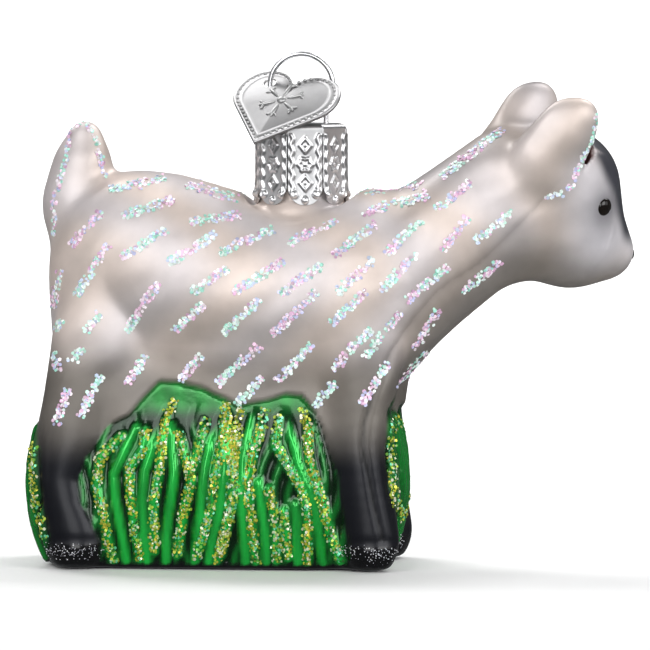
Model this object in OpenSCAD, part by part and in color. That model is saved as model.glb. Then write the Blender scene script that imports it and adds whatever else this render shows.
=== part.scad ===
// Blown-glass goat ornament: a hollow glass goat standing in a clump of grass,
// with a stamped metal cap, a sprung wire hanger and a heart-shaped hang tag.
// Millimetres. +X is the way the goat faces, +Z is up, and the origin is on the
// flat underside of the grass, below the middle of the whole ornament.

/* [Glass body] */
// Wall thickness of the blown glass
wall = 1.0; // [0.8:0.1:1.4]
// How far the head is turned towards the left side, in degrees
head_turn = 26; // [0:1:30]
// How far the head is tipped towards the right side, in degrees
head_tip = 8; // [0:1:10]
// How far the legs stand out of the grass
leg_relief = 0; // [-0.4:0.1:0.6]

/* [Neck of the glass] */
// Distance of the neck behind the origin
neck_x = -5.0; // [-6:0.5:-4]
// Outer radius of the neck
neck_r = 6.0; // [5.8:0.1:6.1]
// Radius of the bore that holds the hanger
bore_r = 5.0; // [4.95:0.05:5.1]

/* [Cap] */
// Height of the cap's flat top above the base
cap_top_z = 69.6; // [69.2:0.1:70]
// Distance across opposite panels
cap_across = 14.4; // [14.2:0.1:14.8]
// Height from the top to the tips of the panels
cap_h = 12.8; // [12.4:0.1:13]
// Sheet thickness
cap_sheet = 0.4; // [0.3:0.05:0.5]
// Turn of the cap round the neck, in degrees
cap_turn = 11; // [0:1:22]

/* [Hanger wire] */
// Wire diameter
wire_d = 0.8; // [0.7:0.05:0.9]
// Radius of the loop at the middle of the wire
loop_r = 5.0; // [4.8:0.1:5.2]
// Distance of each leg from the middle
leg_out = 3.9; // [3.7:0.1:4]

/* [Heart tag] */
// Radius of each lobe
lobe_r = 4.9; // [4.7:0.1:5.1]
// Distance of each lobe's centre from the middle
lobe_out = 4.5; // [4.3:0.1:4.7]
// Distance from the lobes' centres down to the point
tag_drop = 10.9; // [10.4:0.1:11.2]
// Sheet thickness
tag_sheet = 0.45; // [0.35:0.05:0.5]
// Radius of the hole that the wire goes through
tag_hole_r = 1.1; // [1.0:0.05:1.2]

/* [Hidden] */
$fn = 48;

neck_top_z = cap_top_z - cap_sheet - 0.3;
seat_z = cap_top_z - cap_h - 0.5;         // floor of the dimple round the neck
loop_z = cap_top_z + 5.9;                 // centre of the hanger's loop
panel_n = 8;
panel_w = cap_across * tan(180 / panel_n);
slot_w = 0.5;

// Where the tag's hole is, at the loop's widest point, and how the tag leans
tag_at = [neck_x - loop_r, 0, loop_z + 0.4];
tag_hole = [-4.1, 1.85];
tag_yaw = -19;
tag_tilt = -47;
tag_roll = 10.5;

// ---- glass ----
// A blob is [x, y, z, rx, ry, rz]. A limb is the hull of each blob with the next.

trunk = [
    [-34.2, 0, 38.0, 10.6, 11.4, 12.0],
    [-33.0, 0, 47.6, 12.0, 11.8, 13.9],
    [-26.0, 0, 45.6, 12.0, 13.6, 16.0],
    [-10.0, 0, 42.3, 13.5, 14.2, 14.9],
    [  5.5, 0, 43.4, 10.5, 13.8, 15.8]];
neck = [
    [  2.6, 0, 39.6,  9.8, 12.8, 15.6],
    [ 15.0, 0, 48.3,  9.0, 11.0, 12.4],
    [ 27.0, 0, 57.4,  9.0,  9.2, 11.4]];
face = [
    [ 36.6, 0, 59.6,  9.2,  9.4,  9.4],
    [ 39.0, 0, 53.0,  8.2,  7.8,  8.6],
    [ 42.8, 0, 49.3,  5.6,  6.0,  5.8]];
jaw = [
    [ 31.0, 0, 54.5,  9.0,  8.4,  9.4],
    [ 37.6, 0, 51.6,  7.4,  7.4,  7.6]];
tail = [
    [-41.0, 0, 56.6,  5.3,  5.2,  7.6],
    [-39.9, 0, 62.6,  4.8,  4.4,  5.0],
    [-39.4, 0, 66.9,  2.8,  2.9,  3.0]];
grass = [
    [-37.6, 6.0, 13.0, 10.3,  8.6, 17.5],
    [  1.7, 6.0, 13.0,  9.8,  8.6, 17.5]];
tall_grass = [
    [-32.0, 5.8, 14.0,  6.5,  7.7, 22.0],
    [ -3.0, 5.8, 14.0,  6.5,  7.7, 22.0]];
fore_leg = [
    [  5.4,  9.6, 34.0,  6.4,  3.9,  8.0],
    [  5.6, 10.8, 18.0,  4.2,  3.7,  5.5],
    [  6.8, 11.2,  4.6,  4.8,  3.7,  6.0]];
hind_leg = [
    [-36.8,  9.0, 35.0,  7.0,  3.9,  9.0],
    [-40.4, 10.2, 22.0,  4.9,  3.6,  5.5],
    [-42.2, 10.4, 13.5,  3.6,  3.5,  4.5],
    [-39.4, 11.2,  4.6,  4.8,  3.7,  6.0]];
ear = [
    [ 30.5,  6.5, 65.5,  5.0,  3.2,  6.2],
    [ 33.4,  8.0, 69.2,  4.2,  2.7,  5.1],
    [ 36.2,  8.8, 72.7,  2.3,  2.0,  2.5]];

module blob(b, grow, fineness)
    translate([b[0], b[1], b[2]])
        scale([b[3] + grow, b[4] + grow, b[5] + grow])
            sphere(r = 1, $fn = fineness);

module limb(blobs, grow, fineness)
    for (i = [0 : len(blobs) - 2])
        hull() {
            blob(blobs[i], grow, fineness);
            blob(blobs[i + 1], grow, fineness);
        }

module turned_head()
    translate([28, 0, 56]) rotate([head_tip, 0, head_turn]) translate([-28, 0, -56]) children();

module hollow_shapes(grow, fineness) {
    limb(trunk, grow, fineness);
    limb(neck, grow, fineness);
    turned_head() {
        limb(face, grow, fineness);
        limb(jaw, grow, fineness);
    }
    intersection() {
        union() {
            hull() both_sides() for (b = grass) blob(b, grow, fineness);
            hull() both_sides() for (b = tall_grass) blob(b, grow, fineness);
        }
        translate([-60, -30, -grow]) cube([90, 60, 60]);
    }
}

module both_sides() {
    children();
    mirror([0, 1, 0]) children();
}

module relief_shapes() {
    limb(tail, 0, 20);
    both_sides() intersection() {
        union() {
            limb(fore_leg, leg_relief, 18);
            limb(hind_leg, leg_relief, 18);
        }
        translate([-60, 0, 0]) cube([90, 30, 60]);
    }
    turned_head() both_sides() difference() {
        limb(ear, 0, 18);
        hull() {
            translate([38.5, 9.0, 71.0]) sphere(r = 1.3, $fn = 14);
            translate([35.9, 8.4, 65.4]) sphere(r = 0.9, $fn = 14);
        }
    }
}

module glass_body() color([0.76, 0.72, 0.70])
    difference() {
        union() {
            difference() {
                union() {
                    hollow_shapes(0, 30);
                    relief_shapes();
                }
                translate([neck_x, 0, seat_z]) cylinder(r1 = cap_across / 2 + 1.0, r2 = cap_across / 2 + 2.2, h = 12);
            }
            translate([neck_x, 0, seat_z - 4]) cylinder(r = neck_r, h = neck_top_z - seat_z + 4);
        }
        hollow_shapes(-wall, 22);
        translate([neck_x, 0, seat_z - 8]) cylinder(r = bore_r, h = 40);
    }

// ---- enamel drops ----

module drop(r, bulge)
    rotate_extrude() intersection() {
        translate([0, bulge - r]) circle(r = r);
        translate([0, -0.3]) square([3, 3]);
    }

module eye_place() translate([40.6, -8.75, 57.7]) rotate([0, 0, 18]) rotate([90, 0, 0]) children();

module eye_right() color([0.03, 0.03, 0.03])
    turned_head() eye_place() drop(1.9, 0.55);

module eye_left() color([0.03, 0.03, 0.03])
    turned_head() mirror([0, 1, 0]) eye_place() drop(1.9, 0.55);

module nose() color([0.03, 0.03, 0.03])
    turned_head() translate([47.9, 0, 49.6]) sphere(r = 1.0);

// ---- cap ----

panel_face = panel_w - slot_w;
panel_tip = [for (t = [0 : 15 : 180]) [panel_face / 2 * cos(t), -cap_h + panel_face / 2 * (1 - sin(t))]];

// One panel, standing in the XZ plane with its top edge at z = 0 and its face towards -Y
module cap_panel() {
    rotate([90, 0, 0]) linear_extrude(height = cap_sheet)
        polygon(concat([[-panel_face / 2, 0], [panel_face / 2, 0]], panel_tip));
    for (x = [-1, 0, 1])
        translate([x * panel_face * 0.3, -cap_sheet + 0.1, -cap_h + (x == 0 ? 1.0 : 2.0)]) sphere(r = 0.6);
    for (z = [-2.9, -5.9, -8.9])
        translate([0, -cap_sheet, z]) rotate([0, 45, 0]) cube([1.6, 0.5, 1.6], center = true);
    for (x = [-1, 1])
        translate([x * (panel_face / 2 - 0.4), -cap_sheet, -cap_h / 2 + 0.6]) cube([0.35, 0.4, cap_h * 0.6], center = true);
}

module octagon(across) rotate(180 / panel_n) circle(r = across / 2 / cos(180 / panel_n), $fn = panel_n);

module cap() color([0.80, 0.80, 0.82])
    translate([neck_x, 0, cap_top_z])
        difference() {
            rotate(cap_turn) {
                difference() {
                    translate([0, 0, -1.8]) linear_extrude(height = 1.7) octagon(cap_across - 0.2);
                    translate([0, 0, -2.5]) linear_extrude(height = 2.5 - cap_sheet - 0.1)
                        octagon(cap_across - 2 * cap_sheet - 0.1);
                }
                for (i = [0 : panel_n - 1])
                    rotate(i * 360 / panel_n) translate([0, -cap_across / 2 + cap_sheet, 0]) cap_panel();
            }
            for (x = [-leg_out, leg_out])
                translate([x, 0, -3]) cylinder(r = wire_d / 2 + 0.45, h = 6);
        }

// ---- hanger wire ----

bend_r = 1.6;                                                // reverse bend where the loop meets a leg
bend_turn = acos((leg_out + bend_r) / (loop_r + bend_r));
bend_drop = (loop_r + bend_r) * sin(bend_turn);              // from the loop's centre to the leg's top

// Lengths of wire stop just short of each other, inside a ball that joins them
module wire_arc(r, from, to) {
    short = asin(0.05 / r);
    rotate([90, 0, 0]) rotate([0, 0, from + short])
        rotate_extrude(angle = to - from - 2 * short) translate([r, 0]) circle(r = wire_d / 2);
}

module wire_rod(a, b) {
    d = b - a;
    translate(a) rotate([0, atan2(norm([d[0], d[1]]), d[2]), atan2(d[1], d[0])])
        translate([0, 0, 0.05]) cylinder(r = wire_d / 2, h = norm(d) - 0.1);
}

module wire_joint(p) translate(p) sphere(r = wire_d / 2 + 0.02);

// The part of the wire below the loop on one side: a reverse bend and a bowed leg
module wire_leg() {
    spring_out = bore_r - 0.12 - wire_d / 2;
    neck_in = [leg_out, 0, -bend_drop];
    hip = [leg_out, 0, cap_top_z - cap_sheet - 0.6 - loop_z];
    knee = [spring_out, 0, hip[2] - 7];
    toe = [leg_out + 0.1, 0, knee[2] - 6];
    wire_joint([loop_r * cos(bend_turn), 0, -loop_r * sin(bend_turn)]);
    translate([leg_out + bend_r, 0, -bend_drop]) wire_arc(bend_r, 180 - bend_turn, 180);
    wire_joint(neck_in);
    wire_rod(neck_in, hip);
    wire_joint(hip);
    wire_rod(hip, knee);
    wire_joint(knee);
    wire_rod(knee, toe);
    wire_joint(toe);
}

module hanger_wire() color([0.72, 0.72, 0.74])
    translate([neck_x, 0, loop_z]) {
        wire_arc(loop_r, -bend_turn, 180 + bend_turn);
        wire_leg();
        mirror([1, 0, 0]) wire_leg();
    }

// ---- heart tag ----

// Where the right lobe's circle meets the straight side that runs to the point
function tangent_point(r) =
    let (d = norm([lobe_out, tag_drop]),
         turn = acos(r / d) + atan2(-tag_drop, -lobe_out))
    [lobe_out + r * cos(turn), r * sin(turn)];

module heart(inset) {
    r = lobe_r - inset;
    meet = tangent_point(lobe_r);
    shrink = r / lobe_r;
    for (s = [-1, 1]) translate([s * lobe_out, 0]) circle(r = r);
    polygon([
        [-lobe_out, 0],
        [lobe_out, 0],
        [lobe_out + (meet[0] - lobe_out) * shrink, meet[1] * shrink],
        [0, -tag_drop + inset * 1.4],
        [-lobe_out - (meet[0] - lobe_out) * shrink, meet[1] * shrink]]);
}

module heart_tag() color([0.78, 0.77, 0.78])
    translate(tag_at)
        rotate([0, 0, tag_yaw]) rotate([tag_tilt, 0, 0]) rotate([0, tag_roll, 0])
            translate([-tag_hole[0], 0, -tag_hole[1]]) rotate([90, 0, 0])
                difference() {
                    union() {
                        linear_extrude(height = tag_sheet, center = true) heart(0);
                        for (s = [-1, 1]) for (t = [-60 : 20 : 130])
                            translate([s * (lobe_out + (lobe_r - 0.7) * cos(t)), (lobe_r - 0.7) * sin(t), tag_sheet / 2])
                                sphere(r = 0.28);
                    }
                    translate([tag_hole[0], tag_hole[1], -3]) cylinder(r = tag_hole_r, h = 6);
                }

glass_body();
cap();
hanger_wire();
heart_tag();
eye_right();
eye_left();
nose();
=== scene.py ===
"""Looks of a blown-glass goat ornament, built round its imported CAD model.

Sizes in this script are in millimetres, in the CAD model's frame, and become metres when a mesh is made.
"""

import math
import random

import bpy
import numpy as np
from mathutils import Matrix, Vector
from mathutils.bvhtree import BVHTree

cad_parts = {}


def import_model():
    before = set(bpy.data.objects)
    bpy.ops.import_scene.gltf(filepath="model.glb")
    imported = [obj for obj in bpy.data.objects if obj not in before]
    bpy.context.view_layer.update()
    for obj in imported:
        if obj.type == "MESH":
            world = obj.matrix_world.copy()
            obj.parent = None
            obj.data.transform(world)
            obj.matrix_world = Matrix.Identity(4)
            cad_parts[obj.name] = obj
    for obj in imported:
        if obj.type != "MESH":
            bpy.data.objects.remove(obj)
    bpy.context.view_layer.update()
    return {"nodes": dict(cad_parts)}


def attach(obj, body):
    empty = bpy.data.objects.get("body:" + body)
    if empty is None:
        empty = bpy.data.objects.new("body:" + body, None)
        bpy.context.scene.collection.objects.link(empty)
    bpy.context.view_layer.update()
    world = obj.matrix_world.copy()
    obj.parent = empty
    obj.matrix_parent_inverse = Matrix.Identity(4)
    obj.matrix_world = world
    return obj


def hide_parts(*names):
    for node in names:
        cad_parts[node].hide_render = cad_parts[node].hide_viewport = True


MM = 0.001
VIEW_TURN = math.radians(6.0)     # how far the camera stands towards the front
VIEW_RISE = math.radians(3.0)     # and above the horizon
GRID = 0.46


# ---------------------------------------------------------------- helpers

def srgb(r, g, b):
    """A colour given as screen values from 0 to 255, as linear numbers."""
    c = np.array([r, g, b], float) / 255
    return np.where(c <= 0.04045, c / 12.92, ((c + 0.055) / 1.055) ** 2.4)


def smoothstep(a, b, x):
    t = np.clip((x - a) / (b - a), 0, 1)
    return t * t * (3 - 2 * t)


def make_mesh(name, verts, faces, body, material, smooth=True):
    mesh = bpy.data.meshes.new(name)
    mesh.from_pydata((np.asarray(verts) * MM).tolist(), [], faces)
    mesh.update()
    mesh.materials.append(material)
    mesh.polygons.foreach_set("use_smooth", [smooth] * len(mesh.polygons))
    obj = bpy.data.objects.new(name, mesh)
    bpy.context.scene.collection.objects.link(obj)
    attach(obj, body)
    return obj


def point_colour(obj, name, rgb):
    rgb = np.asarray(rgb, float)
    rgba = np.concatenate([rgb, np.ones((len(rgb), 1))], 1)
    layer = obj.data.color_attributes.new(name, "FLOAT_COLOR", "POINT")
    layer.data.foreach_set("color", rgba.astype(np.float32).ravel())


def point_value(obj, name, values):
    layer = obj.data.attributes.new(name, "FLOAT", "POINT")
    layer.data.foreach_set("value", np.asarray(values, np.float32))


def material(name, **sockets):
    mat = bpy.data.materials.new(name)
    mat.use_nodes = True
    shader = mat.node_tree.nodes["Principled BSDF"]
    for key, value in sockets.items():
        shader.inputs[key.replace("_", " ")].default_value = value
    return mat


def attribute_link(mat, attribute, socket, colour=False):
    nodes, links = mat.node_tree.nodes, mat.node_tree.links
    node = nodes.new("ShaderNodeAttribute")
    node.attribute_name = attribute
    links.new(node.outputs["Color" if colour else "Fac"],
              nodes["Principled BSDF"].inputs[socket])


def ring_faces(rings, steps, first=0):
    """Quads between rings of points that follow one another, from point number first."""
    faces = []
    for j in range(rings - 1):
        low, high = first + j * steps, first + (j + 1) * steps
        for i in range(steps):
            k = (i + 1) % steps
            faces.append([low + i, low + k, high + k, high + i])
    return faces


def dome(rings, steps, place, first=0):
    """A dome from its rim to its top. place turns the two angles of a point into the point."""
    verts = []
    for j in range(rings):
        t = j / (rings - 1) * math.pi / 2
        for i in range(steps):
            verts.append(place(t, 2 * math.pi * i / steps))
    return verts, ring_faces(rings, steps, first)


def grain(mat, scale, bump, mottle=0.0):
    """Fine unevenness of a finish: a bump and a slight mottling of the colour."""
    nodes, links = mat.node_tree.nodes, mat.node_tree.links
    shader = nodes["Principled BSDF"]
    place = nodes.new("ShaderNodeTexCoord")
    noise = nodes.new("ShaderNodeTexNoise")
    lift = nodes.new("ShaderNodeBump")
    noise.inputs["Scale"].default_value = scale
    noise.inputs["Detail"].default_value = 4.0
    links.new(place.outputs["Object"], noise.inputs["Vector"])
    lift.inputs["Strength"].default_value = bump
    lift.inputs["Distance"].default_value = 0.1 / scale
    links.new(noise.outputs["Fac"], lift.inputs["Height"])
    links.new(lift.outputs["Normal"], shader.inputs["Normal"])
    if mottle:
        base = shader.inputs["Base Color"]
        if base.is_linked:
            painted = base.links[0].from_socket
        else:
            plain = nodes.new("ShaderNodeRGB")
            plain.outputs["Color"].default_value = base.default_value
            painted = plain.outputs["Color"]
        slow = nodes.new("ShaderNodeTexNoise")
        ramp = nodes.new("ShaderNodeMapRange")
        mix = nodes.new("ShaderNodeMix")
        slow.inputs["Scale"].default_value = scale * 0.3
        slow.inputs["Detail"].default_value = 3.0
        links.new(place.outputs["Object"], slow.inputs["Vector"])
        ramp.inputs["From Min"].default_value = 0.3
        ramp.inputs["From Max"].default_value = 0.7
        ramp.inputs["To Min"].default_value = 1.0 - mottle
        ramp.inputs["To Max"].default_value = 1.0 + mottle * 0.4
        links.new(slow.outputs["Fac"], ramp.inputs["Value"])
        mix.data_type = "RGBA"
        mix.blend_type = "MULTIPLY"
        mix.inputs["Factor"].default_value = 1.0
        links.new(painted, mix.inputs["A"])
        links.new(ramp.outputs["Result"], mix.inputs["B"])
        links.new(mix.outputs["Result"], shader.inputs["Base Color"])


def view_u(p):
    """Distance along the goat as seen from its own side, the same for both sides."""
    return p[:, 0] * math.cos(VIEW_TURN) - np.abs(p[:, 1]) * math.sin(VIEW_TURN)


def line_distance(u, z, line):
    """Distance to a line of (u, z) points, and the signed side of it."""
    best = np.full(len(u), 1e9)
    side = np.zeros(len(u))
    for (u0, z0), (u1, z1) in zip(line[:-1], line[1:]):
        du, dz = u1 - u0, z1 - z0
        t = np.clip(((u - u0) * du + (z - z0) * dz) / (du * du + dz * dz), 0, 1)
        ex, ez = u - (u0 + t * du), z - (z0 + t * dz)
        d = np.hypot(ex, ez)
        closer = d < best
        best = np.where(closer, d, best)
        side = np.where(closer, np.sign(du * ez - dz * ex), side)
    return best, side


# ---------------------------------------------------------------- the glass, as a field

# A blob is [x, y, z, rx, ry, rz]. A limb runs smoothly through its blobs.
TRUNK = [
    [-34.2, 0, 38.0, 10.6, 11.4, 12.0],
    [-33.0, 0, 47.6, 12.0, 11.8, 13.9],
    [-26.0, 0, 45.6, 12.0, 13.6, 16.0],
    [-10.0, 0, 42.3, 13.5, 14.2, 14.9],
    [5.5, 0, 43.4, 10.5, 13.8, 15.8]]
NECK = [
    [2.6, 0, 39.6, 9.8, 12.8, 15.6],
    [15.0, 0, 48.3, 9.0, 11.0, 12.4],
    [27.0, 0, 57.4, 9.0, 9.2, 11.4]]
FACE = [
    [36.6, 0, 59.6, 9.2, 9.4, 9.4],
    [39.0, 0, 53.0, 8.2, 7.8, 8.6],
    [43.5, 0, 49.4, 5.6, 5.5, 4.9]]
JAW = [
    [31.0, 0, 54.5, 9.0, 8.4, 9.4],
    [37.6, 0, 51.6, 7.4, 7.4, 7.6]]
TAIL = [
    [-41.0, 0, 56.6, 5.3, 5.2, 7.6],
    [-39.9, 0, 62.6, 4.8, 4.4, 5.0],
    [-39.4, 0, 66.9, 2.8, 2.9, 3.0]]
FORE_LEG = [
    [5.4, 9.1, 33.0, 6.4, 3.9, 8.0],
    [5.6, 10.8, 18.0, 4.2, 3.9, 5.5],
    [6.8, 11.2, 4.6, 4.8, 3.9, 6.0]]
HIND_LEG = [
    [-36.8, 8.0, 34.0, 7.0, 3.9, 9.0],
    [-40.4, 10.2, 22.0, 4.9, 3.8, 5.5],
    [-42.2, 10.4, 13.5, 3.6, 3.8, 4.5],
    [-39.4, 11.2, 4.6, 4.8, 3.9, 6.0]]
EAR = [
    [30.8, 6.6, 65.2, 5.2, 3.4, 5.8],
    [33.6, 7.9, 69.6, 4.9, 2.7, 5.4],
    [35.3, 8.6, 71.8, 3.3, 2.0, 3.4]]
EAR_SLOT = [
    [38.7, 6.5, 70.2, 1.0, 2.2, 1.5],
    [37.9, 6.5, 67.2, 1.1, 2.2, 1.6],
    [36.1, 6.9, 63.9, 0.7, 1.8, 1.2]]
HEAD_PIVOT = np.array([28.0, 0.0, 56.0])
HEAD_TURN, HEAD_TIP = math.radians(26), math.radians(8)
NECK_X, NECK_R, BORE_R = -5.0, 6.0, 5.0
CAP_ACROSS, CAP_H, CAP_TOP = 14.4, 12.8, 69.6
SEAT_GAP = 0.5                    # from the cap's tips down to the seat in the goat's back
SEAT_Z = CAP_TOP - CAP_H - SEAT_GAP

ct, st, cp, sp = math.cos(HEAD_TURN), math.sin(HEAD_TURN), math.cos(HEAD_TIP), math.sin(HEAD_TIP)
HEAD_ROT = (np.array([[ct, -st, 0], [st, ct, 0], [0, 0, 1]])
            @ np.array([[1, 0, 0], [0, cp, -sp], [0, sp, cp]]))


def to_head(p):
    """Points in the head's own frame, before it is turned."""
    return (p - HEAD_PIVOT) @ HEAD_ROT + HEAD_PIVOT


def from_head(p):
    return (np.asarray(p, float) - HEAD_PIVOT) @ HEAD_ROT.T + HEAD_PIVOT


LOW = np.array([-50.0, -17.5, -2.5])
HIGH = np.array([50.5, 19.5, 78.5])
SHAPE = np.ceil((HIGH - LOW) / GRID).astype(int)
AXES = [LOW[i] + GRID * np.arange(SHAPE[i]) for i in range(3)]
FAR = 9.0


def limb_field(blobs, steps=7, head=False, mirror=False):
    """Approximate distance to a limb, on the whole grid."""
    field = np.full(SHAPE, FAR, np.float32)
    b = np.array(blobs, float)
    if mirror:
        b[:, 1] *= -1
    rows = []
    for i in range(len(b) - 1):
        before, after = b[max(i - 1, 0)], b[min(i + 2, len(b) - 1)]
        for t in np.arange(steps) / steps:
            linear = b[i] * (1 - t) + b[i + 1] * t
            curve = 0.5 * ((2 * b[i]) + (b[i + 1] - before) * t
                           + (2 * before - 5 * b[i] + 4 * b[i + 1] - after) * t * t
                           + (3 * b[i] - before - 3 * b[i + 1] + after) * t ** 3)
            rows.append(0.5 * (linear + curve))
    rows.append(b[-1])
    for row in rows:
        centre, radii = row[:3], row[3:]
        reach = radii.max() + 5.0
        middle = from_head(centre[None])[0] if head else centre
        cut = [slice(max(0, int((middle[i] - reach - LOW[i]) / GRID)),
                     max(0, int((middle[i] + reach - LOW[i]) / GRID) + 2)) for i in range(3)]
        grid = np.stack(np.meshgrid(*[AXES[i][cut[i]] for i in range(3)], indexing="ij"), -1)
        if grid.size == 0:
            continue
        q = (to_head(grid.reshape(-1, 3)).reshape(grid.shape) if head else grid) - centre
        k0 = np.sqrt(((q / radii) ** 2).sum(-1))
        k1 = np.sqrt(((q / radii ** 2) ** 2).sum(-1)) + 1e-9
        d = k0 * (k0 - 1) / k1
        field[tuple(cut)] = np.minimum(field[tuple(cut)], d.astype(np.float32))
    return field


def blend_min(a, b, k):
    h = np.clip(0.5 + 0.5 * (b - a) / k, 0, 1)
    return b * (1 - h) + a * h - k * h * (1 - h)


def blend_max(a, b, k):
    return -blend_min(-a, -b, k)


def blur(f, sigma):
    r = int(math.ceil(2.5 * sigma))
    w = np.exp(-0.5 * (np.arange(-r, r + 1) / sigma) ** 2)
    w /= w.sum()
    for axis in range(3):
        pad = [(r, r) if i == axis else (0, 0) for i in range(3)]
        g = np.pad(f, pad, mode="edge")
        out = np.zeros_like(f)
        for i, weight in enumerate(w):
            cut = [slice(None)] * 3
            cut[axis] = slice(i, i + f.shape[axis])
            out += weight * g[tuple(cut)]
        f = out
    return f


def rounded_block(X, Y, Z, ends, rx, half_y, ry, middle_z, rz):
    """A long block with bulging sides."""
    qx = X - np.clip(X, *ends)
    qy = np.maximum(np.abs(Y) - half_y, 0)
    qz = Z - middle_z
    k0 = np.sqrt((qx / rx) ** 2 + (qy / ry) ** 2 + (qz / rz) ** 2)
    k1 = np.sqrt((qx / rx ** 2) ** 2 + (qy / ry ** 2) ** 2 + (qz / rz ** 2) ** 2) + 1e-9
    return np.minimum(k0 * (k0 - 1) / k1, FAR)


DIMPLE_R, DIMPLE_SLOPE = 8.4, 0.18   # the round seat for the cap, and how its wall leans out
BORE_FLOOR = 51.0


def glass_field():
    X, Y, Z = np.meshgrid(*[a.astype(np.float32) for a in AXES], indexing="ij")
    body = blend_min(limb_field(TRUNK), limb_field(NECK), 2.5)
    head = blend_min(limb_field(FACE, head=True), limb_field(JAW, head=True), 3.0)
    body = blend_min(body, head, 3.5)
    body = blend_min(body, limb_field(TAIL), 2.0)
    tall_grass = rounded_block(X, Y, Z, (-32.0, -3.0), 6.5, 5.8, 7.7, 14.0, 22.5)
    body = blend_min(body, tall_grass, 5.5)
    end_reach = np.where(X < -18, 10.1, 9.6)
    low_grass = rounded_block(X, Y, Z, (-37.6, 1.7), end_reach, 5.8, 7.9, 13.0, 17.5)
    body = blend_min(body, low_grass, 2.2)
    for mirror in (False, True):
        for leg in (FORE_LEG, HIND_LEG):
            body = blend_min(body, limb_field(leg, mirror=mirror), 2.4)
    ring = np.hypot(X - NECK_X, Y)
    dimple = np.maximum(ring - DIMPLE_R - (Z - SEAT_Z) * DIMPLE_SLOPE, SEAT_Z - Z)
    body = blend_max(body, -dimple, 1.2)
    flare = np.maximum(ring - NECK_R - 1.6 * np.exp(-np.maximum(Z - SEAT_Z, 0) / 1.2), Z - SEAT_Z - 4)
    body = np.minimum(body, np.where(Z > SEAT_Z - 6, flare, FAR))
    for mirror in (False, True):
        ear = limb_field(EAR, head=True, mirror=mirror)
        body = blend_min(body, ear, 3.0)
    body = blur(body, 0.55 / GRID)
    # the slots of the ears, and the bore of the neck, stay crisp
    for mirror in (False, True):
        body = blend_max(body, -limb_field(EAR_SLOT, head=True, mirror=mirror), 0.5)
    body = np.maximum(body, -np.maximum(ring - BORE_R - 0.4, BORE_FLOOR - Z))
    body = blend_max(body, -Z, 0.9)
    return body.astype(np.float32)


def surface_net(f):
    """Quads round the zero level of the field."""
    s = f < 0
    n = np.array(f.shape) - 1
    total = np.zeros((*n, 3), np.float32)
    count = np.zeros(tuple(n), np.float32)
    for axis in range(3):
        o1, o2 = [i for i in range(3) if i != axis]
        for d1 in (0, 1):
            for d2 in (0, 1):
                lo, hi = [None] * 3, [None] * 3
                for i in range(3):
                    off = {axis: 0, o1: d1, o2: d2}[i]
                    lo[i] = slice(off, off + n[i])
                    hi[i] = slice(off + (i == axis), off + (i == axis) + n[i])
                a, b = f[tuple(lo)], f[tuple(hi)]
                cross = (a < 0) != (b < 0)
                t = np.where(cross, a / np.where(cross, a - b, 1), 0)
                total[..., axis] += t
                total[..., o1] += cross * d1
                total[..., o2] += cross * d2
                count += cross
    used = count > 0
    index = np.full(used.shape, -1, np.int64)
    index[used] = np.arange(used.sum())
    cells = np.argwhere(used)
    verts = LOW + GRID * (cells + total[used] / count[used][:, None])
    quads = []
    for axis in range(3):
        o1, o2 = [i for i in range(3) if i != axis]
        lo, hi = [slice(None)] * 3, [slice(None)] * 3
        lo[axis], hi[axis] = slice(0, -1), slice(1, None)
        change = s[tuple(lo)] != s[tuple(hi)]
        at = np.argwhere(change)
        at = at[(at[:, o1] > 0) & (at[:, o2] > 0) & (at[:, o1] < n[o1]) & (at[:, o2] < n[o2])]
        inside = s[tuple(at.T)]
        corner = []
        for d1, d2 in ((-1, -1), (0, -1), (0, 0), (-1, 0)):
            c = at.copy()
            c[:, o1] += d1
            c[:, o2] += d2
            corner.append(index[tuple(c.T)])
        quad = np.stack(corner, 1)
        flip = inside if axis != 1 else ~inside
        quad = np.where(flip[:, None], quad, quad[:, ::-1])
        quads.append(quad)
    return verts, np.concatenate(quads)


def sample(f, p):
    q = np.clip((p - LOW) / GRID, 0, np.array(f.shape) - 1.001)
    i = q.astype(int)
    t = q - i
    out = 0
    for a in (0, 1):
        for b in (0, 1):
            for c in (0, 1):
                w = np.prod(np.where([a, b, c], t, 1 - t), axis=1)
                out = out + w * f[i[:, 0] + a, i[:, 1] + b, i[:, 2] + c]
    return out


def gradient(f, p, e):
    g = np.stack([sample(f, p + d) - sample(f, p - d) for d in np.eye(3) * e], 1)
    return g / (np.linalg.norm(g, axis=1, keepdims=True) + 1e-9)


# ---------------------------------------------------------------- where the paint goes

# Boundaries on one side of the goat, as (u, z) points. Both sides are painted alike.
GRASS_TOP = [(-39.9, 14.0), (-38.6, 17.5), (-36.5, 20.8), (-35.1, 22.7), (-31.9, 24.3), (-29.5, 27.1),
             (-27.2, 29.4), (-24.0, 29.3), (-20.5, 28.4), (-17.5, 27.1), (-14.9, 25.8), (-10.3, 26.6),
             (-7.4, 27.6), (-4.9, 27.3), (-2.8, 24.9), (-1.6, 22.2), (-0.8, 18.9), (0.5, 15.2)]
HIND_FRONT = [(-36.2, 3.9), (-37.9, 7.8), (-39.5, 10.5), (-40.0, 14.0), (-38.6, 17.5), (-36.5, 20.8)]
HIND_BACK = [(-44.9, 3.9), (-45.5, 8.3), (-46.3, 12.9), (-46.6, 17.5), (-46.5, 21.7)]
FORE_BACK = [(2.1, 3.6), (0.8, 11.8), (0.5, 15.2), (-0.8, 18.9), (-1.6, 22.2)]
FORE_FRONT = [(11.4, 3.0), (10.2, 8.0), (8.9, 13.0), (8.4, 18.0), (8.6, 24.0)]


def along_z(line, z):
    pts = sorted(line, key=lambda q: q[1])
    return np.interp(z, [q[1] for q in pts], [q[0] for q in pts])


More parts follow.
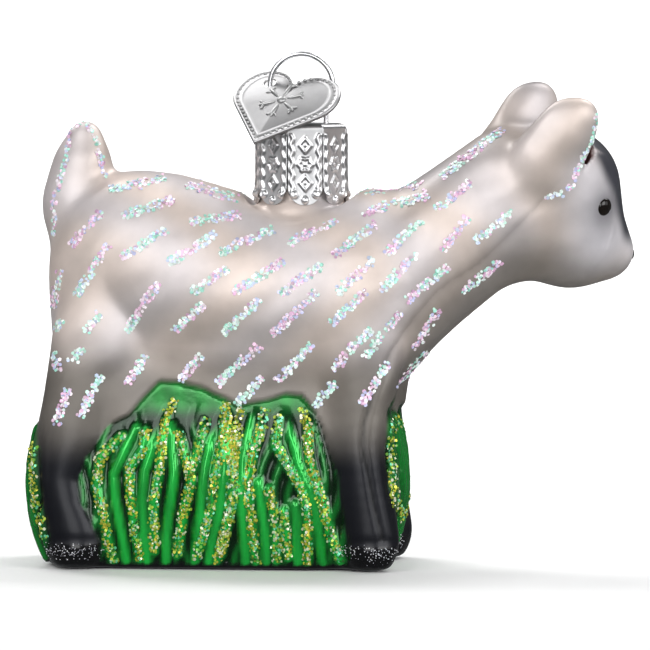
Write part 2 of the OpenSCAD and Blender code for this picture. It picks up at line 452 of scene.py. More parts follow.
def grass_amount(p):
    """1 on the grass, 0 on the goat, with a soft edge."""
    u, z = view_u(p), p[:, 2]
    top = np.interp(u, *zip(*GRASS_TOP))
    between = smoothstep(0.35, -0.35, z - top) * smoothstep(-0.3, 0.3, u - along_z(HIND_FRONT, z))
    between *= smoothstep(0.3, -0.3, u - along_z(FORE_BACK, z))
    wave = 1.1 * np.sin(0.55 * p[:, 1] + 0.8) + 0.6 * np.sin(1.7 * p[:, 1])
    behind = smoothstep(0.3, -0.3, u - along_z(HIND_BACK, z)) * smoothstep(0.6, -0.6, z - 24.0 - wave)
    between_legs = smoothstep(6.0, 9.0, p[:, 0]) * smoothstep(7.2, 6.2, np.abs(p[:, 1]))
    ahead = (np.maximum(smoothstep(-0.3, 0.3, u - along_z(FORE_FRONT, z)), between_legs)
             * smoothstep(0.6, -0.6, z - 25.0 - wave))
    return np.clip(np.maximum(np.maximum(between, behind), ahead), 0, 1)


def blade_lines():
    """Centre lines of the moulded blades: the glittered ones, and one between each two of them."""
    main = sorted(GRASS_STROKES[:-2], key=lambda line: along_z(line, 9.0))
    lines = list(main)
    for one, two in zip(main[:-1], main[1:]):
        if along_z(two, 9.0) - along_z(one, 9.0) > 2.2:
            top = min(max(q[1] for q in one), max(q[1] for q in two)) + 1.0
            lines.append([((along_z(one, z) + along_z(two, z)) / 2, z) for z in np.linspace(0.3, top, 7)])
    return lines


def blade_height(p, n):
    """Ridges of the grass, from 0 in the valleys to 1 on the blades."""
    u, y, z = view_u(p), p[:, 1], p[:, 2]
    nearest = np.full(len(p), 1e9)
    for line in blade_lines():
        nearest = np.minimum(nearest, line_distance(u, z, line)[0])
    thin = 0.18 + 0.18 * np.cos(2 * math.pi * (u + 0.9 * np.sin(0.35 * z + 0.3 * u)) / 2.1)
    top = 25.2 + 1.6 * np.sin(1.4 * u)
    side = np.maximum(np.exp(-(nearest / 0.72) ** 2), thin) * smoothstep(top, top - 5.0, z)
    across = np.where(np.abs(y) > 8, p[:, 0] + np.sign(y), y + np.sign(p[:, 0] + 18) * 0.6)
    wave = 0.8 * np.sin(0.21 * z + 0.4 * across) + 0.4 * np.sin(0.5 * z - 0.5 * across)
    end = np.abs(np.cos(math.pi * (across + wave) / 2.6)) ** 1.4 * smoothstep(26.0, 21.0, z)
    on_side = smoothstep(0.35, 0.6, np.abs(n[:, 1])) * smoothstep(-44.0, -41.0, u) * smoothstep(5.0, 2.0, u)
    return side * on_side + end * (1 - on_side)


# The seam from the jaw down the neck and the foreleg, as (u, z) points.
CREASE = [(32.5, 57.6), (28.4, 53.2), (25.4, 50.2), (22.4, 47.6), (19.4, 45.7), (16.3, 43.5),
          (13.3, 40.2), (10.9, 36.9), (8.8, 33.6), (6.3, 27.6), (4.7, 22.8), (4.6, 19.8),
          (5.5, 14.8), (6.3, 10.5), (7.7, 5.0)]


def leg_swell(u, z):
    """A rounded swelling over each lower leg, and a little more over the hoof."""
    total = np.zeros(len(u))
    for back, front in ((HIND_BACK, HIND_FRONT), (FORE_BACK, FORE_FRONT)):
        a, b = along_z(back, z), along_z(front, z)
        t = (2 * u - a - b) / (b - a)
        total = total + np.sqrt(np.clip(1 - t * t, 0, 1))
    return (total - 0.75) * smoothstep(28, 17, z) + total * (0.3 * np.exp(-((z - 1.9) / 1.5) ** 2)
                                                            - 0.2 * np.exp(-((z - 4.6) / 0.7) ** 2))


def fur_waves(p):
    """Broad locks of fur that run down and back over the flank, from -1 to 1."""
    u, z = view_u(p), p[:, 2]
    side = np.where(p[:, 1] < 0, 0.0, 1.7)
    return (np.sin(0.62 * u - 0.78 * z + 0.9 * np.sin(0.21 * u + 0.17 * z + side) + side)
            * (0.6 + 0.4 * np.sin(0.33 * u + 0.41 * z + side)))


def relief(p, n):
    """Moulded detail, as a displacement along the normal, in millimetres."""
    u, z = view_u(p), p[:, 2]
    grass = grass_amount(p)
    d = grass * (1.2 * blade_height(p, n) - 0.65)
    d = d + (1 - grass) * 0.8 * leg_swell(u, z) * smoothstep(0.3, 0.6, np.abs(n[:, 1]))
    coat = (1 - grass) * smoothstep(20, 30, z)
    d = d + coat * 0.15 * fur_waves(p) * smoothstep(0.15, 0.6, np.abs(n[:, 1]))
    dist, where = line_distance(u, z, CREASE)
    on_side = smoothstep(0.0, 0.35, np.abs(n[:, 1]))
    depth = 0.10 + 0.16 * smoothstep(36, 28, z)
    lip = np.exp(-((dist - 1.7) / 1.1) ** 2) * 0.35 * (where > 0)
    groove = (np.exp(-(dist / 0.5) ** 2) - lip) * depth
    d = d - groove * on_side * smoothstep(33, 28, u)
    return d


def over(base, colour, amount):
    """A colour laid over the base, in an amount from 0 to 1."""
    return base * (1 - amount) + colour * amount


def coat_colour(p, n):
    """Base colour, roughness and metalness of the painted glass at points p."""
    u, z = view_u(p), p[:, 2]
    grass = grass_amount(p)
    pearl = (0.5 + 0.5 * np.sin(0.31 * u + 1.2 * np.sin(0.23 * z) + 0.4 * p[:, 1]))[:, None]
    base = srgb(222, 207, 198) * pearl + srgb(216, 208, 208) * (1 - pearl)
    # painted shade: the coat darker in broad streaks along the locks of fur
    base = base * (1 - 0.07 * (0.5 + 0.5 * fur_waves(p)))[:, None]
    # legs: a blue-grey fade down the upper legs, darker towards the bottom, and airbrushed dark below the
    # knee
    fade = smoothstep(24.5, 15.5, z)
    over_leg = np.maximum(smoothstep(-30.0, -37.0, u), smoothstep(-1.0, 3.0, u))
    soft = (0.92 * smoothstep(38.0, 26.0, z) * over_leg)[:, None]
    base = over(base, srgb(76, 78, 88), soft)
    # painted shade: greyer along the belly, and under the neck and jaw where the surface faces down
    painted_belly_shade = 0.88 * smoothstep(39.0, 28.5, z) * smoothstep(18.0, 10.0, u)
    painted_underside_shade = 0.85 * smoothstep(0.1, -0.7, n[:, 2])
    low = np.maximum(painted_belly_shade, painted_underside_shade)[:, None]
    base = over(base, srgb(112, 106, 98), low)
    # painted shade: the top of the neck darker where it faces up
    painted_nape_shade = 0.45 * smoothstep(0.25, 0.85, n[:, 2]) * smoothstep(6.0, 14.0, u) * smoothstep(36.0, 30.0, u)
    base = base * (1 - painted_nape_shade[:, None])
    base = over(base, srgb(16, 18, 27), fade[:, None])
    # head: a paler face, partly its own paint and partly a painted highlight; a dark stripe down the face,
    # and soft grey round the eyes
    h = to_head(p)
    is_head = smoothstep(31, 34, h[:, 0])
    # paler face: the face's own lighter paint, with a painted highlight over its side
    light = (0.8 * smoothstep(30.0, 42.0, h[:, 0]) * smoothstep(68.0, 63.0, h[:, 2])
             * smoothstep(44.0, 53.0, h[:, 2]))[:, None]
    base = over(base, srgb(222, 220, 226), light)
    edge = np.interp(h[:, 2], [49.0, 52.0, 59.0, 65.0, 69.0], [48.0, 45.2, 42.3, 39.0, 36.6])
    stripe = smoothstep(edge - 1.0, edge + 1.6, h[:, 0]) * smoothstep(49.5, 53.5, h[:, 2])
    stripe *= np.maximum(smoothstep(6.6, 5.2, np.abs(h[:, 1])), smoothstep(67.0, 65.5, h[:, 2]))
    stripe = stripe[:, None] * 0.95
    base = over(base, srgb(30, 34, 48), stripe)
    slot = np.full(len(p), 1e9)
    for sign in (-1, 1):
        line = [(b[0], b[2]) for b in EAR_SLOT]
        off = line_distance(h[:, 0], h[:, 2], line)[0]
        slot = np.minimum(slot, np.hypot(off, np.maximum(0, np.abs(h[:, 1] * sign - 6.0) - 1.6)))
    # dark red-brown in the ear slots: partly the ear's own inner colour, partly painted shade in the slot
    slot_paint_and_shade = (smoothstep(1.7, 1.2, slot) * (np.abs(h[:, 1]) > 3.5) * smoothstep(8.1, 7.2, np.abs(h[:, 1]))
             * smoothstep(71.0, 70.0, h[:, 2]))[:, None]
    base = over(base, srgb(78, 34, 28), slot_paint_and_shade)
    eye = np.exp(-(((h[:, 0] - 40.6) / 3.2) ** 2 + ((h[:, 2] - 57.7) / 4.2) ** 2)) * (np.abs(h[:, 1]) > 3)
    eye = (0.75 * eye * is_head)[:, None]
    base = over(base, srgb(98, 97, 104), eye)
    # grass: green paint, with painted shade in the valleys and painted highlights on the ridges and the
    # smooth top
    valley_shade_green = srgb(3, 40, 13)
    bright = srgb(34, 190, 72)
    plain = smoothstep(23.5, 27.0, z)
    # painted shade: the front and back ends of the grass darker
    shaded = 1 - 0.55 * np.maximum(smoothstep(7.0, 9.5, u), smoothstep(-43.0, -45.5, u))[:, None]
    # painted highlight on the blades and the smooth top, painted shade in the valleys between
    painted_blade_light = np.maximum(smoothstep(0.10, 0.7, blade_height(p, n)), 0.42 * plain)
    green = valley_shade_green + (bright - valley_shade_green) * painted_blade_light[:, None]
    green = green * shaded * (0.85 + 0.15 * np.sin(1.9 * u + 0.35 * z))[:, None]
    base = over(base, green, grass[:, None])
    # black hooves and a black rim round the flat base
    hoof = np.maximum(smoothstep(4.3, 3.5, z) * (1 - grass), smoothstep(1.1, 0.7, z))[:, None]
    base = over(base, srgb(9, 9, 11), hoof)
    # painted shade: a dark line along the mould seam, a broader shade on one side of it, and a thin dark
    # line down the foreleg
    dist, where = line_distance(u, z, CREASE)
    shade = 0.16 * np.exp(-(dist / 0.6) ** 2) + 0.12 * np.exp(-(dist / 3.5) ** 2) * (where < 0)
    shade = shade * smoothstep(22, 27, z) * smoothstep(0.0, 0.3, np.abs(n[:, 1]))
    on_leg = smoothstep(30, 22, z) * smoothstep(0.3, 0.6, np.abs(n[:, 1]))
    shade = shade + 0.6 * np.exp(-(dist / 0.3) ** 2) * on_leg
    base = base * (1 - shade[:, None] * (1 - grass[:, None]))
    rough = over(0.50, 0.12, grass)
    rough = rough * (1 - fade * (1 - grass)) + 0.42 * fade * (1 - grass)
    rough = over(rough, 0.10, hoof[:, 0])
    metal = over(0.46, 0.34, grass)
    metal = metal * (1 - hoof[:, 0])
    return base, rough, metal


def build_glass():
    f = glass_field()
    verts, quads = surface_net(f)
    for _ in range(2):
        n = gradient(f, verts, 0.45)
        verts = verts - n * np.clip(sample(f, verts), -0.4, 0.4)[:, None]
    n = gradient(f, verts, 0.5)
    painted = verts.copy()
    in_bore = (np.hypot(verts[:, 0] - NECK_X, verts[:, 1]) < 9.0) & (verts[:, 2] > 50)
    flat = verts[:, 2] < 0.6
    move = relief(verts, n) * ~in_bore * ~flat
    verts = verts + n * move[:, None]
    verts[:, 2] = np.maximum(verts[:, 2], 0.0)
    mat = material("lacquered glass", Coat_Weight=0.2, Coat_Roughness=0.25)
    attribute_link(mat, "paint", "Base Color", True)
    attribute_link(mat, "rough", "Roughness")
    attribute_link(mat, "metal", "Metallic")
    grain(mat, 700, 0.10, 0.10)
    obj = make_mesh("goat_glass", verts, quads.tolist(), "glass", mat)
    colour, rough, metal = coat_colour(painted, n)
    point_colour(obj, "paint", colour)
    point_value(obj, "rough", rough)
    point_value(obj, "metal", metal)
    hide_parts("glass_body")
    return verts, quads


# ---------------------------------------------------------------- neck, eyes, nose

def lathe(profile, x, steps=72):
    """Rings round the upright line through x, from (r, z) points, closed at the last one."""
    verts = []
    for r, z in profile:
        for i in range(steps):
            a = 2 * math.pi * i / steps
            verts.append([x + r * math.cos(a), r * math.sin(a), z])
    faces = ring_faces(len(profile), steps)
    faces.append([(len(profile) - 1) * steps + i for i in range(steps)])
    return verts, faces


def build_neck():
    top = CAP_TOP - 0.4 - 0.3
    profile = [(NECK_R + 0.3, SEAT_Z - 1.0), (NECK_R, SEAT_Z + 1.5), (NECK_R, top - 0.4),
               (NECK_R - 0.15, top - 0.1), (NECK_R - 0.5, top), (BORE_R + 0.15, top - 0.1),
               (BORE_R, top - 0.4), (BORE_R, 52.0), (BORE_R - 1.0, 51.2), (0.5, 51.2)]
    verts, faces = lathe(profile, NECK_X)
    mat = material("bare silvered glass", Base_Color=(0.62, 0.58, 0.55, 1), Metallic=0.9, Roughness=0.2)
    grain(mat, 900, 0.08)
    make_mesh("glass_neck", verts, faces, "glass", mat)


def frame_at(normal):
    n = Vector(normal).normalized()
    side = n.cross(Vector((0, 0, 1)))
    if side.length < 0.05:
        side = n.cross(Vector((1, 0, 0)))
    side.normalize()
    return n, side, n.cross(side).normalized()


NOSE_Z = 48.7
EYE_ALONG, EYE_HIGH, EYE_DOME, EYE_SINK = 1.42, 1.44, 0.75, 0.22
NOSE_WIDE, NOSE_DOME, NOSE_SINK = 2.7, 0.42, 0.10


def build_eyes(tree):
    """The eyes and the nose: domes of enamel that follow the glass under them."""
    mat = material("black enamel", Base_Color=(0.006, 0.004, 0.003, 1), Roughness=0.07)
    grain(mat, 1200, 0.03)
    for name, sign in (("eye_right", -1), ("eye_left", 1)):
        start = from_head([[41.6, sign * 18, 57.9]])[0]
        way = from_head([[40.6, sign * 8, 57.7]])[0] - start
        hit, normal, _, _ = tree.ray_cast(Vector(start * MM), Vector(way))
        n, a, b = frame_at(normal)

        def on_eye(t, q):
            along_a = a * (EYE_ALONG * math.cos(t) * math.cos(q))
            along_b = b * (EYE_HIGH * math.cos(t) * math.sin(q))
            return list(hit / MM + along_a + along_b + n * (EYE_DOME * math.sin(t) - EYE_SINK))

        verts, faces = dome(9, 40, on_eye)
        obj = make_mesh(name + "_drop", verts, faces, "glass", mat)
        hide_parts(name)

    def on_nose(t, q):
        across = NOSE_WIDE * math.cos(t) * math.cos(q)
        high = (0.95 + 0.25 * math.sin(q)) * math.cos(t) * math.sin(q)
        start = from_head([[60.0, across, NOSE_Z + high]])[0]
        way = from_head([[40.0, across, NOSE_Z + high]])[0] - start
        hit, normal, _, _ = tree.ray_cast(Vector(start * MM), Vector(way))
        return list(hit / MM + normal * (NOSE_DOME * math.sin(t) - NOSE_SINK))

    verts, faces = dome(9, 44, on_nose)
    obj = make_mesh("nose_drop", verts, faces, "glass", mat)
    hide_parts("nose")


# ---------------------------------------------------------------- glitter

# Strokes of glitter, as (u, z) points. Those on the grass also give the moulded blades.
COAT_STROKES = [
    [(-35.1, 59.3), (-26.2, 60.9)], [(-23.1, 60.0), (-14.9, 57.7)], [(-33.2, 55.2), (-25.0, 57.7)],
    [(-22.3, 54.3), (-14.5, 55.4)], [(-41.1, 50.5), (-36.2, 55.9)], [(-33.0, 48.7), (-25.8, 53.3)],
    [(-25.6, 48.0), (-18.2, 52.5)], [(-17.7, 49.5), (-9.2, 53.3)], [(-7.0, 51.1), (0.8, 54.7)],
    [(0.0, 49.2), (6.8, 54.1)], [(8.2, 49.5), (13.7, 54.7)], [(2.7, 58.9), (14.1, 60.1)],
    [(4.6, 55.7), (15.0, 58.5)], [(-40.4, 42.6), (-35.1, 50.8)], [(-32.4, 37.1), (-27.2, 45.0)],
    [(-22.1, 43.4), (-16.4, 47.2)], [(-15.5, 43.4), (-7.7, 48.3)], [(-8.2, 43.2), (-1.7, 47.8)],
    [(0.5, 43.4), (6.3, 48.6)], [(7.3, 43.7), (13.1, 49.5)], [(-44.2, 40.4), (-43.0, 46.5)],
    [(-43.5, 37.1), (-42.8, 38.9)], [(-38.9, 37.1), (-36.5, 39.9)], [(-25.0, 37.1), (-20.2, 41.5)],
    [(-17.2, 36.9), (-11.4, 42.4)], [(-9.5, 36.7), (-2.7, 43.7)], [(-0.5, 38.3), (5.1, 43.8)],
    [(0.0, 31.4), (5.8, 37.8)], [(8.1, 37.8), (10.6, 40.1)], [(4.9, 33.3), (7.7, 36.9)],
    [(-18.2, 29.0), (-11.4, 35.2)], [(-9.0, 29.2), (-3.2, 35.5)], [(-15.0, 25.8), (-10.9, 30.1)],
    [(-2.8, 25.5), (0.5, 29.6)], [(4.4, 26.0), (8.5, 32.6)], [(10.1, 28.4), (14.7, 33.7)],
    [(12.8, 34.2), (16.4, 40.8)], [(-43.1, 30.7), (-43.6, 33.7)], [(-41.1, 32.2), (-39.2, 34.5)],
    [(-32.4, 28.8), (-29.1, 33.6)], [(-24.0, 29.3), (-20.5, 33.7)], [(-39.7, 23.6), (-36.5, 30.3)],
    [(-43.6, 22.2), (-41.4, 28.2)], [(16.0, 56.2), (21.6, 60.6)], [(16.9, 50.0), (21.0, 55.1)],
    [(22.1, 51.4), (28.0, 55.9)], [(11.4, 42.1), (18.0, 47.6)], [(20.1, 43.2), (26.1, 48.3)],
    [(16.9, 61.4), (26.7, 68.8)],
    [(-39.5, 69.8), (-41.6, 68.7), (-41.9, 65.6), (-42.8, 61.7), (-43.9, 57.9), (-44.1, 56.2),
     (-43.9, 51.7)],
    [(-39.2, 69.6), (-37.4, 67.2), (-37.0, 65.3), (-36.2, 61.7), (-35.5, 61.2)],
    [(41.2, 71.2), (40.4, 66.9), (38.1, 62.8), (37.3, 60.1), (35.2, 58.5), (32.9, 58.4)]]
GRASS_STROKES = [
    [(-32.7, 21.3), (-36.5, 17.5), (-37.0, 12.9), (-35.9, 8.3), (-34.4, 0.9)],
    [(-29.2, 21.9), (-29.7, 18.9), (-31.9, 15.7), (-31.6, 11.0), (-31.0, 5.9), (-30.2, 1.3)],
    [(-24.6, 26.6), (-26.1, 23.8), (-26.7, 19.8), (-27.2, 15.2), (-28.1, 10.5), (-28.0, 2.6)],
    [(-24.2, 21.7), (-23.2, 17.9), (-22.1, 14.0), (-23.5, 8.3), (-24.5, 2.0)],
    [(-19.6, 23.6), (-21.0, 19.4), (-22.1, 15.2)],
    [(-16.7, 26.3), (-17.5, 19.8), (-18.6, 14.0), (-19.1, 9.4), (-21.5, 1.3)],
    [(-14.9, 22.2), (-15.8, 15.2), (-15.2, 11.8), (-16.6, 7.0), (-18.3, 0.9)],
    [(-16.9, 26.1), (-16.3, 19.8), (-15.5, 15.2), (-16.4, 8.3), (-17.7, 2.0)],
    [(-14.4, 25.4), (-15.2, 22.2), (-15.5, 15.2)],
    [(-10.7, 25.2), (-11.2, 22.2), (-12.5, 18.7), (-13.3, 14.0), (-12.8, 8.3), (-12.0, 0.9)],
    [(-8.4, 24.3), (-9.0, 19.8), (-7.0, 16.4), (-4.9, 12.9), (-4.0, 9.4), (-4.0, 0.9)],
    [(-10.0, 12.9), (-9.0, 7.0), (-8.8, 1.3)],
    [(-4.9, 25.4), (-4.0, 22.2), (-3.8, 17.5), (-2.8, 14.0), (-1.6, 10.5), (-0.5, 5.9), (1.1, 1.3)],
    [(-7.7, 9.4), (-7.0, 1.8)],
    [(9.8, 23.3), (9.0, 18.7), (9.3, 14.0), (10.0, 10.5), (11.4, 7.0)],
    [(-46.9, 19.4), (-47.4, 15.7), (-47.1, 12.2), (-46.3, 8.3), (-45.3, 4.5)]]


def along(line, spacing, rng, spread):
    """Points scattered along a line of (u, z) points."""
    out = []
    for (u0, z0), (u1, z1) in zip(line[:-1], line[1:]):
        length = math.hypot(u1 - u0, z1 - z0)
        for _ in range(max(1, int(length / spacing))):
            t = rng.random()
            off = rng.uniform(-spread, spread) + rng.gauss(0, 0.10)
            nu, nz = -(z1 - z0) / length, (u1 - u0) / length
            out.append((u0 + (u1 - u0) * t + nu * off, z0 + (z1 - z0) * t + nz * off))
    return out


def cast_side(tree, points, sign):
    """Drops (u, z) points onto one side of the goat: sign -1 is its right side."""
    hits = []
    c, s = math.cos(VIEW_TURN), math.sin(VIEW_TURN)
    for u, z in points:
        start = Vector(((u * c + 60 * s) * MM, sign * (60 * c - u * s) * MM, z * MM))
        way = Vector((-s, -sign * c, 0))
        hit, normal, _, _ = tree.ray_cast(start, way)
        if hit is not None:
            hits.append((hit / MM, normal))
    return hits


def flakes(name, hits, size, colours, rng, tilt, mat, lift=0.05):
    """Six-sided flakes lying on the glass."""
    n = len(hits)
    centre = np.array([h[0] for h in hits])
    normal = np.array([h[1] for h in hits])
    gen = np.random.default_rng(rng.randrange(10 ** 6))
    lean = normal + gen.normal(0, tilt, (n, 3))
    lean /= np.linalg.norm(lean, axis=1, keepdims=True)
    helper = np.where(np.abs(lean[:, 2:3]) < 0.9, [[0, 0, 1.0]], [[1.0, 0, 0]])
    a = np.cross(lean, helper)
    a /= np.linalg.norm(a, axis=1, keepdims=True)
    b = np.cross(lean, a)
    r = gen.uniform(size[0], size[1], n)
    spin = gen.uniform(0, math.pi, n)
    top, low = [], []
    centre = centre + normal * (lift + gen.uniform(0, 0.10, n))[:, None]
    for i in range(6):
        t = spin + i * math.pi / 3
        edge = (a * np.cos(t)[:, None] + b * np.sin(t)[:, None]) * r[:, None]
        top.append(centre + edge)
        low.append(centre + edge - lean * 0.12)
    verts = np.stack(top + low, 1).reshape(-1, 3)
    base = np.arange(n)[:, None] * 12
    faces = (base + np.arange(6)).tolist()
    faces += (base + np.arange(6, 12)[::-1]).tolist()
    for i in range(6):
        k = (i + 1) % 6
        faces += (base + np.array([i, i + 6, k + 6, k])).tolist()
    obj = make_mesh(name, verts, faces, "glass", mat, smooth=False)
    # patches lean towards one family of tints or the other
    drift = 0.5 + 0.45 * np.sin(0.55 * centre[:, 0] + 1.3 * np.sin(0.4 * centre[:, 2]) + centre[:, 1])
    family = (gen.random(n) < drift).astype(int)
    tints = np.array([[srgb(*c) for c in group] for group in colours])
    rgb = tints[family, gen.integers(0, tints.shape[1], n)] * gen.uniform(0.7, 1.1, (n, 1))
    point_colour(obj, "paint", np.repeat(np.clip(rgb, 0, 1), 12, 0))


def build_glitter(tree):
    rng = random.Random(7)
    ice = material("iridescent flakes", Metallic=0.15, Roughness=0.3)
    gold = material("gold and green flakes", Metallic=0.4, Roughness=0.3)
    attribute_link(ice, "paint", "Base Color", True)
    attribute_link(gold, "paint", "Base Color", True)
    grain(ice, 3000, 0.05, 0.08)
    grain(gold, 3000, 0.05, 0.08)
    ice_colours = [[(206, 246, 230), (240, 252, 248), (172, 234, 216), (212, 224, 248), (236, 250, 244)],
                   [(246, 208, 232), (252, 240, 247), (228, 184, 216), (206, 208, 244), (246, 226, 240)]]
    gold_colours = [[(224, 214, 76), (190, 214, 74), (250, 250, 216), (186, 190, 68), (132, 156, 54)],
                    [(140, 212, 90), (120, 224, 176), (240, 250, 214), (200, 220, 84), (60, 130, 60)]]
    hoof_colours = [[(220, 226, 232), (150, 150, 160)], [(190, 190, 200), (240, 240, 244)]]
    coat, grass, hoof = [], [], []
    for sign in (-1, 1):
        for line in COAT_STROKES:
            spread = 0.35 if len(line) > 2 else 0.62
            coat += cast_side(tree, along(line, 0.095 if len(line) == 2 else 0.17, rng, spread), sign)
        for line in GRASS_STROKES:
            grass += cast_side(tree, along(line, 0.080, rng, 0.74), sign)
        for left, right in ((-45.5, -35.8), (1.2, 11.4)):
            pts = [(rng.uniform(left, right), rng.gauss(2.9, 0.75)) for _ in range(150)]
            hoof += cast_side(tree, [p for p in pts if 0.4 < p[1] < 4.2], sign)
    flakes("coat_glitter", coat, (0.22, 0.34), ice_colours, rng, 0.20, ice)
    flakes("grass_glitter", grass, (0.17, 0.28), gold_colours, rng, 0.28, gold)
    flakes("hoof_glitter", hoof, (0.05, 0.10), hoof_colours, rng, 0.4, ice, lift=0.0)


# ---------------------------------------------------------------- metal parts

CAP_TURN = math.radians(11)
SHEET = 0.3
WALL_MIDDLE = CAP_ACROSS / 2 - 0.35
LID_ROUND = 0.9                   # radius of the bend from the lid to the panels


def metal_material(name, rough):
    mat = material(name, Metallic=1.0, Roughness=rough)
    attribute_link(mat, "paint", "Base Color", True)
    return mat


def emboss_panel(x, t, w):
    """Height of the stamped pattern on a cap panel: x across, t down from the top."""
    h = np.zeros_like(x)
    edge = w / 2 - np.abs(x)
    wavy = 0.62 + 0.16 * np.sin(t * 2 * math.pi / 1.9)
    rail = np.exp(-((edge - wavy) / 0.24) ** 2) * (t > 1.6) * (t < CAP_H - 1.2)
    h += 0.38 * rail
    for k, at in enumerate((3.4, 6.4, 9.3)):
        if k % 2 == 0:
            r = np.abs(x) / 1.05 + np.abs(t - at) / 1.3
            h += 0.32 * np.exp(-((r - 0.85) / 0.22) ** 2) + 0.22 * np.exp(-(r / 0.3) ** 2)
        else:
            r = np.hypot(x, t - at)
            a = np.arctan2(t - at, x)
            petals = r - 0.95 - 0.14 * np.cos(6 * a)
            h += 0.30 * np.exp(-(petals / 0.24) ** 2) + 0.22 * np.exp(-(r / 0.32) ** 2)
    for bx, bt in ((-0.31 * w, CAP_H - 1.75), (0, CAP_H - 0.85), (0.31 * w, CAP_H - 1.75)):
        r = np.hypot(x - bx, t - bt)
        h += 0.5 * np.sqrt(np.clip(1 - (r / 0.62) ** 2, 0, 1))
    return h


def build_cap():
    verts, faces, shade = [], [], []
    step = 0.15
    full_w = CAP_ACROSS * math.tan(math.pi / 8)
    cols = int(full_w / step)
    rows = int(CAP_H / step)
    for i in range(8):
        turn = CAP_TURN + i * math.pi / 4
        out = np.array([math.sin(turn), -math.cos(turn)])
        side = np.array([math.cos(turn), math.sin(turn)])
        first = len(verts)
        for j in range(rows + 1):
            t = CAP_H * j / rows
            half = full_w / 2 - 0.25 * float(smoothstep(1.7, 2.0, t))
            tip = half - max(0.0, t - (CAP_H - half))
            if t > CAP_H - half:
                half = math.sqrt(max(0.0, half ** 2 - (t - (CAP_H - half)) ** 2)) if tip > 0 else 0.02
            for k in range(cols + 1):
                x = (2 * k / cols - 1) * half
                h = float(emboss_panel(np.array([x]), np.array([t]), full_w - 0.5)[0])
                bend = max(0.0, LID_ROUND - t)
                round_in = LID_ROUND - math.sqrt(LID_ROUND ** 2 - bend ** 2)
                flare = 0.35 * max(0.0, (t - 6) / 7) ** 2
                r = WALL_MIDDLE - round_in + h * 0.9 + flare
                xy = out * r + side * x * (r / (CAP_ACROSS / 2) if t < LID_ROUND else 1)
                verts.append([NECK_X + xy[0], xy[1], CAP_TOP - t])
                shade.append(h)
        for j in range(rows):
            for k in range(cols):
                q = first + j * (cols + 1) + k
                faces.append([q, q + cols + 1, q + cols + 2, q + 1])
    # lid
    lid = WALL_MIDDLE - LID_ROUND
    first = len(verts)
    rings = 6
    for j in range(rings + 1):
        for k in range(8):
            a = CAP_TURN + (k - 0.5) * math.pi / 4
            r = max(lid * (j / rings), 0.02) / math.cos(math.pi / 8)
            dip = -0.12 * math.exp(-((j / rings - 0.8) / 0.08) ** 2)
            verts.append([NECK_X + r * math.sin(a), -r * math.cos(a), CAP_TOP + dip])
            shade.append(0.2)
    for j in range(rings):
        for k in range(8):
            q = (k + 1) % 8
            a, b = first + j * 8, first + (j + 1) * 8
            faces.append([a + k, b + k, b + q, a + q])
    mat = metal_material("stamped cap metal", 0.32)
    grain(mat, 1600, 0.10, 0.08)
    obj = make_mesh("cap_stamped", verts, faces, "cap", mat)
    # painted shade and highlight: the stamped hollows darker and the raised pattern lighter
    shade = np.clip(np.array(shade) / 0.35, 0, 1)
    tone = 0.62 + 0.32 * shade
    point_colour(obj, "paint", np.stack([tone, tone, tone * 1.01], 1))
    thick = obj.modifiers.new("sheet", "SOLIDIFY")
    thick.thickness = SHEET * MM
    thick.offset = -1
    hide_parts("cap")


LOOP_R, LOOP_RISE = 5.0, 5.9      # the wire loop's radius, and its middle's height above the cap
TAG_HOLE = np.array([-4.1, 1.85])
TAG_HOLE_R = 1.05
TAG_AT = np.array([NECK_X - LOOP_R, 0, CAP_TOP + LOOP_RISE + 0.4])
TAG_THICK = 0.38
TAG_CROWN = 0.55                  # how far the tag's middle stands proud of its edge
SPRIG_Z = -1.4                    # height of the sprig's middle on the tag
LOBE_R, LOBE_OUT, TAG_DROP = 4.9, 4.5, 10.9


def tag_frame():
    """Right, up and front directions of the tag."""
    yaw, tilt, roll = math.radians(-19), math.radians(-47), math.radians(10.5)
    rz = np.array([[math.cos(yaw), -math.sin(yaw), 0], [math.sin(yaw), math.cos(yaw), 0], [0, 0, 1]])
    rx = np.array([[1, 0, 0], [0, math.cos(tilt), -math.sin(tilt)], [0, math.sin(tilt), math.cos(tilt)]])
    ry = np.array([[math.cos(roll), 0, math.sin(roll)], [0, 1, 0], [-math.sin(roll), 0, math.cos(roll)]])
    m = rz @ rx @ ry
    return m @ np.array([1, 0, 0]), m @ np.array([0, 0, 1]), m @ np.array([0, -1, 0])


def heart_edge(count):
    """Points round the heart's outline, anticlockwise from the point."""
    d = math.hypot(LOBE_OUT, TAG_DROP)
    turn = math.acos(LOBE_R / d) + math.atan2(-TAG_DROP, -LOBE_OUT)
    meet = math.atan2(math.sin(turn), math.cos(turn))
    dip = math.pi - math.acos(LOBE_OUT / LOBE_R)
    pts = [(0.0, -TAG_DROP)]
    mx, my = LOBE_OUT + LOBE_R * math.cos(meet), LOBE_R * math.sin(meet)
    for t in np.linspace(0, 1, count // 4)[1:]:
        pts.append((mx * t, -TAG_DROP + (my + TAG_DROP) * t))
    for a in np.linspace(meet, dip, count // 2)[1:]:
        pts.append((LOBE_OUT + LOBE_R * math.cos(a), LOBE_R * math.sin(a)))
    right = np.array(pts)
    left = right[1:-1][::-1] * [-1, 1]
    return np.concatenate([right, left])


